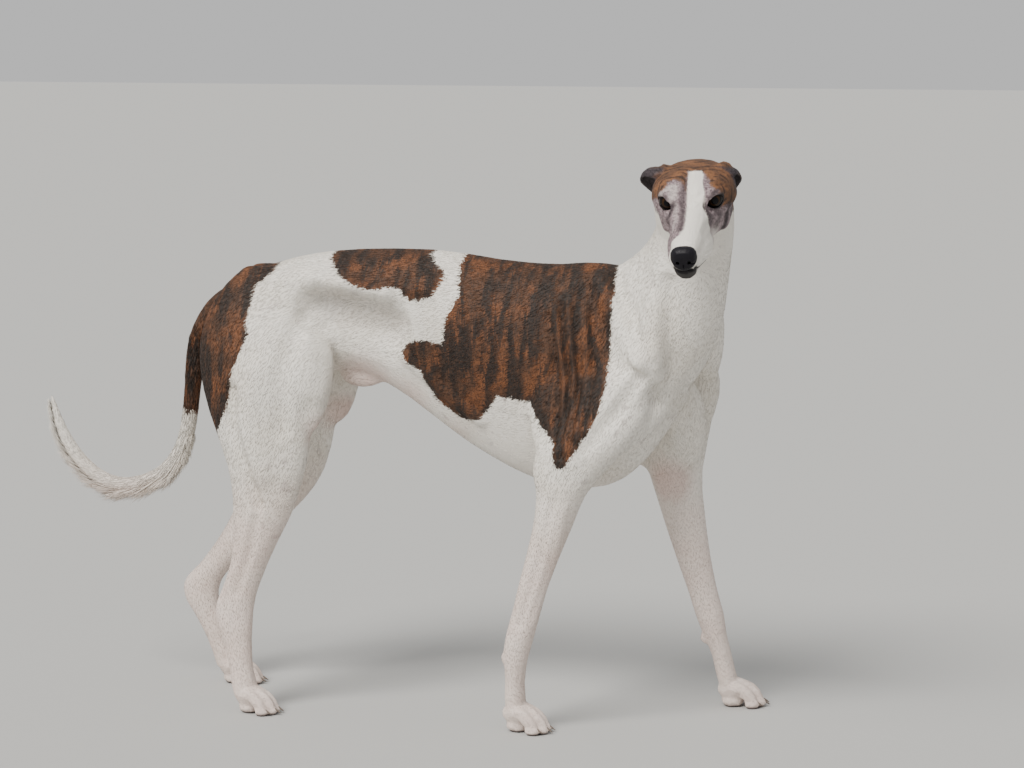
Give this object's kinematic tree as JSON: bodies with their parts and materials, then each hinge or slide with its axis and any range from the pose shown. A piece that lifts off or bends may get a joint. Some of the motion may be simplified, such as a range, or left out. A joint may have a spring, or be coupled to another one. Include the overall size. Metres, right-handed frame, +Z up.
{
  "type": "greyhound",
  "caption": "Life-size standing greyhound, white and brindle, deep chest and tucked belly, long curved tail, head turned to its right; a still display model.",
  "frame": {"origin": "on the floor, under the middle of the bounding box", "axes": "+X the way the body faces, towards the chest; +Y the dog's left side; +Z up. The head is turned towards -Y."},
  "size_m": [1.1956, 0.52, 0.9111],
  "materials": {
    "white_coat": "matte short hair",
    "brindle_coat": "satin short hair, red-brown with near-black stripes",
    "grey_coat": "thin short hair",
    "eye": "wet gloss",
    "nose": "damp, finely pebbled"
  },
  "bodies": {
    "root": {"torso": "brindle_coat", "neck": "white_coat", "head": "white_coat", "tail_root": "brindle_coat", "tail_middle": "white_coat", "tail_bend": "white_coat", "tail_tip": "white_coat", "foreleg_right": "white_coat", "foreleg_left": "white_coat", "forepaw_right": "white_coat", "forepaw_left": "white_coat", "thigh_right": "white_coat", "thigh_left": "white_coat", "shank_right": "white_coat", "shank_left": "white_coat", "hindpaw_right": "white_coat", "hindpaw_left": "white_coat", "nose": "nose", "eye_right": "eye", "eye_left": "eye", "ear_right": "grey_coat", "ear_left": "grey_coat"}
  },
  "joints": []
}
